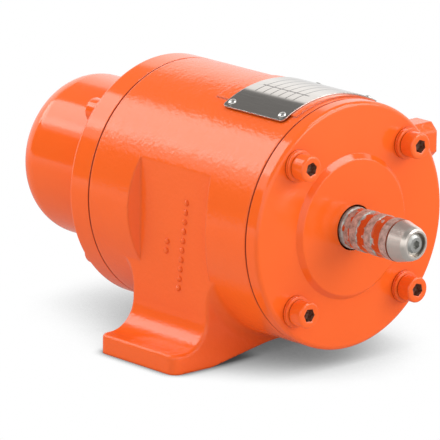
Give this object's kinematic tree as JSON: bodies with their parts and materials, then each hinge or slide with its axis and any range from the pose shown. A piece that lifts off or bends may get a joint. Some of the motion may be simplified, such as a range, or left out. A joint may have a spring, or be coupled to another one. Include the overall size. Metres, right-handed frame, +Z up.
{
  "type": "vibration motor",
  "caption": "Compact cylindrical vibration motor on a one-sided clamping foot, with a grooved drive stub in front and a domed cover over its eccentric weights.",
  "frame": {"origin": "on the standing surface under the shaft axis, at the middle of the motor's overall length and width", "axes": "+Z up from the foot, +Y along the shaft axis from the drive stub to the rear dome, +X to the cable inlet side"},
  "size_m": [0.155, 0.2546, 0.1346],
  "materials": {
    "orange_cast_paint": "semi-gloss orange paint over as-cast skin",
    "orange_smooth_paint": "gloss orange paint over machined aluminium",
    "cast_aluminium": "machined casting",
    "black_rubber": "matte",
    "brushed_stainless": "brushed along the motor",
    "aluminium_rivet": "drawn",
    "electrical_steel": "laminated stack",
    "enamelled_copper": "impregnated winding",
    "spring_steel": "blued",
    "bearing_steel": "ground",
    "cage_polyamide": "moulded",
    "turned_steel": "turned",
    "weight_steel": "zinc plated",
    "black_oxide_steel": "black oxide",
    "polished_steel": "fine turned"
  },
  "bodies": {
    "casing": {"motor_housing": "orange_cast_paint", "front_shield": "orange_smooth_paint", "rear_cover": "orange_smooth_paint", "rear_bearing_plate": "cast_aluminium", "front_o_ring": "black_rubber", "rear_o_ring": "black_rubber", "front_screws": "orange_smooth_paint", "front_lock_washers": "orange_smooth_paint", "rear_screws": "orange_smooth_paint", "rear_lock_washers": "orange_smooth_paint", "nameplate": "brushed_stainless", "nameplate_rivets": "aluminium_rivet", "stator_core": "electrical_steel", "stator_winding": "enamelled_copper", "shaft_seal": "black_rubber", "bearing_preload_spring": "spring_steel", "front_bearing_outer_ring": "bearing_steel", "rear_bearing_outer_ring": "bearing_steel", "rear_bearing_circlip": "spring_steel"},
    "rotor": {"motor_shaft": "turned_steel", "rotor_core": "electrical_steel", "rotor_cage": "cast_aluminium", "front_bearing_inner_ring": "bearing_steel", "rear_bearing_inner_ring": "bearing_steel", "fixed_weight": "weight_steel", "adjustable_weight": "weight_steel", "weight_key": "turned_steel", "weight_clamp_screws": "black_oxide_steel", "weight_spacer": "turned_steel", "weight_washer": "turned_steel", "shaft_circlip": "spring_steel", "nose_cone": "polished_steel", "nose_screw": "polished_steel"},
    "front_ball_set": {"front_bearing_balls": "bearing_steel", "front_bearing_cage": "cage_polyamide"},
    "rear_ball_set": {"rear_bearing_balls": "bearing_steel", "rear_bearing_cage": "cage_polyamide"}
  },
  "joints": [
    {"name": "rotor_spin", "type": "hinge", "parent": "casing", "child": "rotor", "pos_m": [0, -0.0982, 0.071], "axis": [0, 1, 0], "continuous": true},
    {"name": "front_balls_roll", "type": "hinge", "parent": "casing", "child": "front_ball_set", "pos_m": [0, -0.0618, 0.071], "axis": [0, 1, 0], "continuous": true},
    {"name": "rear_balls_roll", "type": "hinge", "parent": "casing", "child": "rear_ball_set", "pos_m": [0, 0.0406, 0.071], "axis": [0, 1, 0], "continuous": true}
  ],
  "couplings": [
    {"joint": "front_balls_roll", "follows": "rotor_spin", "ratio": 0.3969},
    {"joint": "rear_balls_roll", "follows": "rotor_spin", "ratio": 0.3678}
  ]
}
